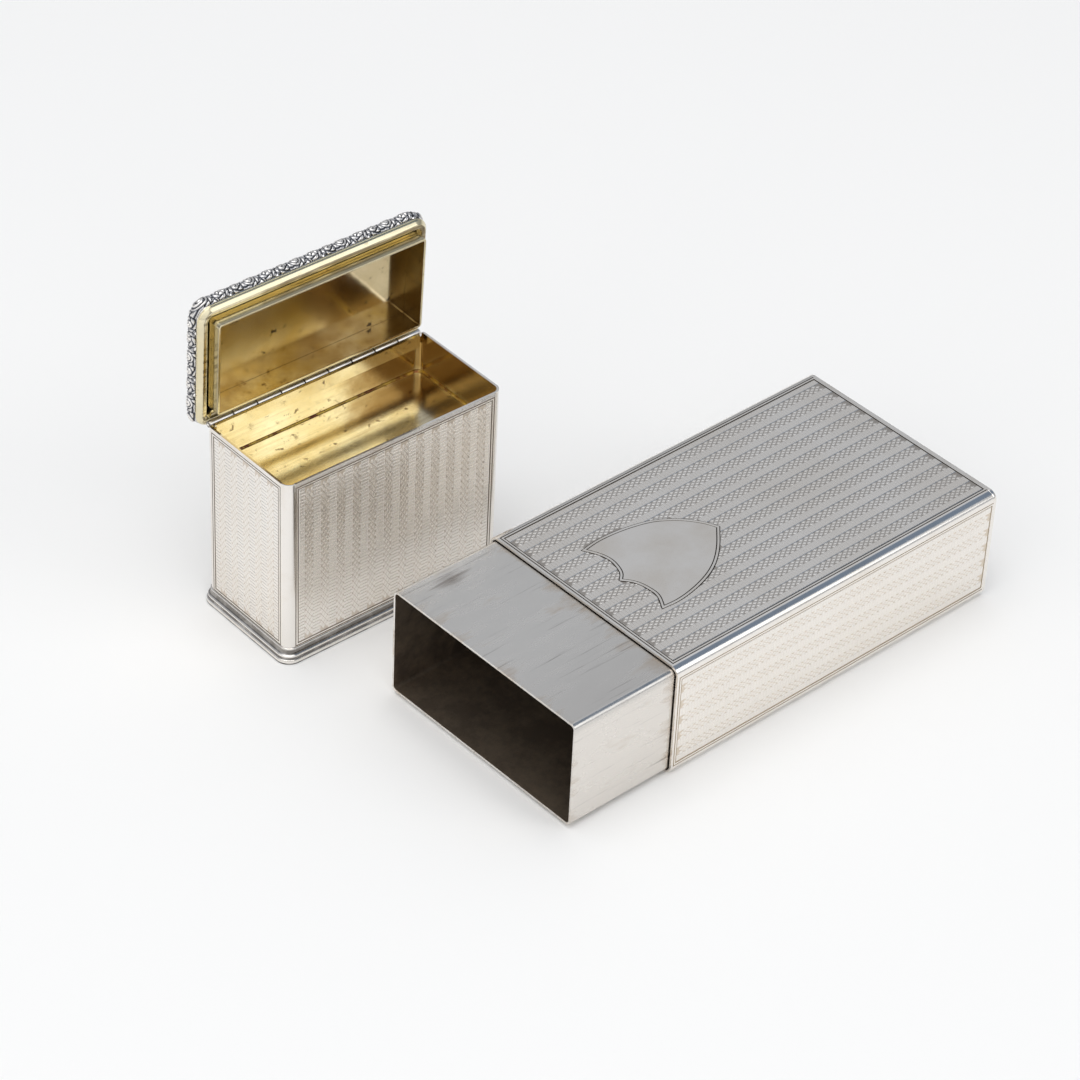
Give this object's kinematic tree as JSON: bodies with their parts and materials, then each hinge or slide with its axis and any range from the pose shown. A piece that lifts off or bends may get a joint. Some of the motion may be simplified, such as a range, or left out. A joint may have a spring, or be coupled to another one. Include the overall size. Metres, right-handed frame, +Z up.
{
  "type": "cheroot and vesta case",
  "caption": "Flat rectangular silver case with a neck, and a sleeve cap whose upper end is a lidded, hinged match compartment.",
  "frame": {"origin": "middle of the cheroot case's flat underside, on the surface that it lies on", "axes": "+X runs from the case's mouth to its closed end, +Y across the case towards the side where the cap stands, +Z up"},
  "size_m": [0.128, 0.1061, 0.0729],
  "materials": {
    "engine_turned_silver": "engine-turned sterling silver, lightly tarnished",
    "plain_silver": "plain sterling silver, finely scratched",
    "polished_silver": "polished sterling silver",
    "cast_silver": "cast and chased silver, dark in the recesses",
    "gilt_silver": "worn gilding on silver",
    "hinge_wire": "drawn silver wire"
  },
  "bodies": {
    "case": {"case_wall": "engine_turned_silver", "case_end_plate": "engine_turned_silver", "neck_liner": "plain_silver"},
    "cap": {"cap_wall": "engine_turned_silver", "compartment_floor": "gilt_silver", "foot_moulding": "polished_silver", "cap_hinge_bearer": "gilt_silver", "cap_knuckle_1": "polished_silver", "cap_knuckle_2": "polished_silver", "cap_knuckle_3": "polished_silver", "cap_knuckle_4": "polished_silver", "cap_knuckle_5": "polished_silver", "hinge_pin": "hinge_wire"},
    "lid": {"lid_plate": "gilt_silver", "lid_bezel": "gilt_silver", "lid_frame": "gilt_silver", "lid_hinge_bearer": "gilt_silver", "lid_border": "cast_silver", "lid_knuckle_1": "polished_silver", "lid_knuckle_2": "polished_silver", "lid_knuckle_3": "polished_silver", "lid_knuckle_4": "polished_silver"}
  },
  "joints": [
    {"name": "cap_lift", "type": "slide", "parent": "case", "child": "cap", "axis": [0, 0, 1], "range_m": [0, 0.06]},
    {"name": "lid_hinge", "type": "hinge", "parent": "cap", "child": "lid", "pos_m": [-0.05363, 0.07259, 0.0442], "axis": [-0.9996, 0.0279, 0], "range_deg": [-87.5, 12.5]}
  ]
}
